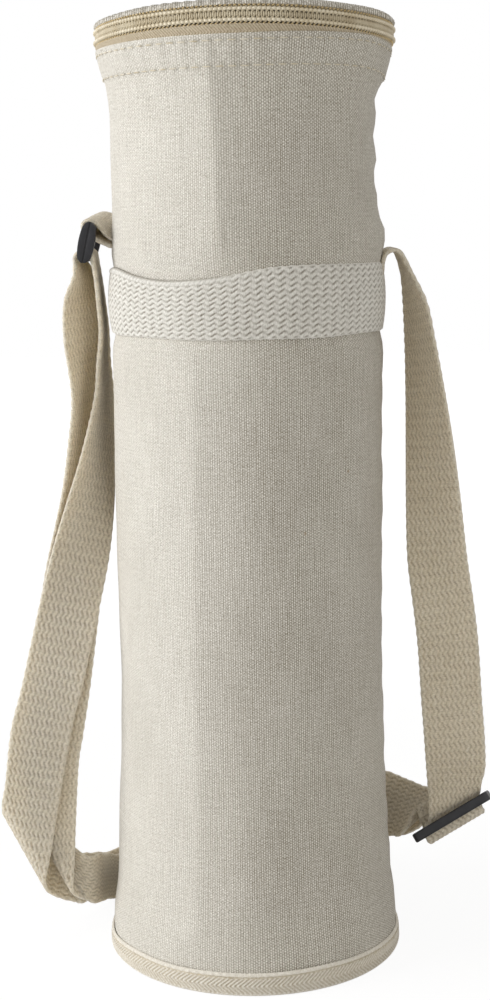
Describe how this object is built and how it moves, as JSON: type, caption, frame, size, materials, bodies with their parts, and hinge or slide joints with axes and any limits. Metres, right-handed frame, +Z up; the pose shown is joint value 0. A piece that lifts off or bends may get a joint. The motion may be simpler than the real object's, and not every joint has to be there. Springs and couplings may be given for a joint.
{
  "type": "bottle_carrier",
  "caption": "Padded canvas bottle bag with a round zipped lid, a webbing waist band and an adjustable webbing shoulder strap on a black plastic ring and slide buckle.",
  "frame": {"origin": "middle of the base, on the surface that the bag stands on", "axes": "+Z up along the bag; +X to the buckle's side, -X to the ring's side; the front looks along -Y"},
  "size_m": [0.2105, 0.14, 0.391],
  "materials": {
    "canvas": "natural oat cotton canvas, plain weave with slubs",
    "foam": "closed-cell polyethylene foam",
    "lining": "coated pale lining cloth",
    "binding": "cream herringbone twill tape",
    "zip_tape": "beige zip tape, herringbone",
    "zip_coil": "cream nylon coil",
    "zip_metal": "nickel-plated die casting",
    "webbing": "natural cotton webbing, chevron rows",
    "black_plastic": "black moulded acetal"
  },
  "bodies": {
    "bag": {"outer_shell": "canvas", "body_foam": "foam", "body_lining": "lining", "base_panel": "canvas", "base_foam": "foam", "base_lining": "lining", "base_binding": "binding", "zip_tape_lower": "zip_tape", "zip_coil_lower": "zip_coil", "zip_stop_right": "zip_metal", "zip_stop_left": "zip_metal", "hinge_patch_lower": "canvas", "waist_band": "webbing", "strap_root_right": "webbing", "tab_root_upper": "webbing", "tab_root_lower": "webbing"},
    "lid": {"lid_panel": "canvas", "lid_foam": "foam", "lid_lining": "lining", "zip_tape_upper": "zip_tape", "zip_coil_upper": "zip_coil", "hinge_patch_upper": "canvas"},
    "slider": {"zip_slider": "zip_metal"},
    "pull": {"zip_pull": "zip_metal"},
    "strap": {"strap_right_run": "webbing", "strap_buckle_turn": "webbing", "strap_back_outer": "webbing", "strap_left_front": "webbing", "strap_ring_bight": "webbing", "strap_left_rear": "webbing", "strap_back_inner": "webbing", "strap_end_loop": "webbing", "ring_tab": "webbing", "strap_ring": "black_plastic"},
    "buckle": {"strap_buckle": "black_plastic"}
  },
  "joints": [
    {"name": "lid_hinge", "type": "hinge", "parent": "bag", "child": "lid", "pos_m": [0, 0.0625, 0.3819], "axis": [-1, 0, 0], "range_deg": [0, 130]},
    {"name": "zip_travel", "type": "hinge", "parent": "bag", "child": "slider", "pos_m": [0, 0, 0.3819], "axis": [0, 0, 1], "range_deg": [-272, 0]},
    {"name": "pull_swing", "type": "hinge", "parent": "slider", "child": "pull", "pos_m": [0.04465, 0.04624, 0.3811], "axis": [0.7193, -0.6947, 0], "range_deg": [0, 130]},
    {"name": "strap_swing", "type": "hinge", "parent": "bag", "child": "strap", "pos_m": [0, 0, 0.297], "axis": [1, 0, 0], "range_deg": [0, 130]},
    {"name": "buckle_rock", "type": "hinge", "parent": "strap", "child": "buckle", "pos_m": [0.08586, 0.00434, 0.0499], "axis": [0.8571, 0, 0.5151], "range_deg": [-12, 12]}
  ]
}
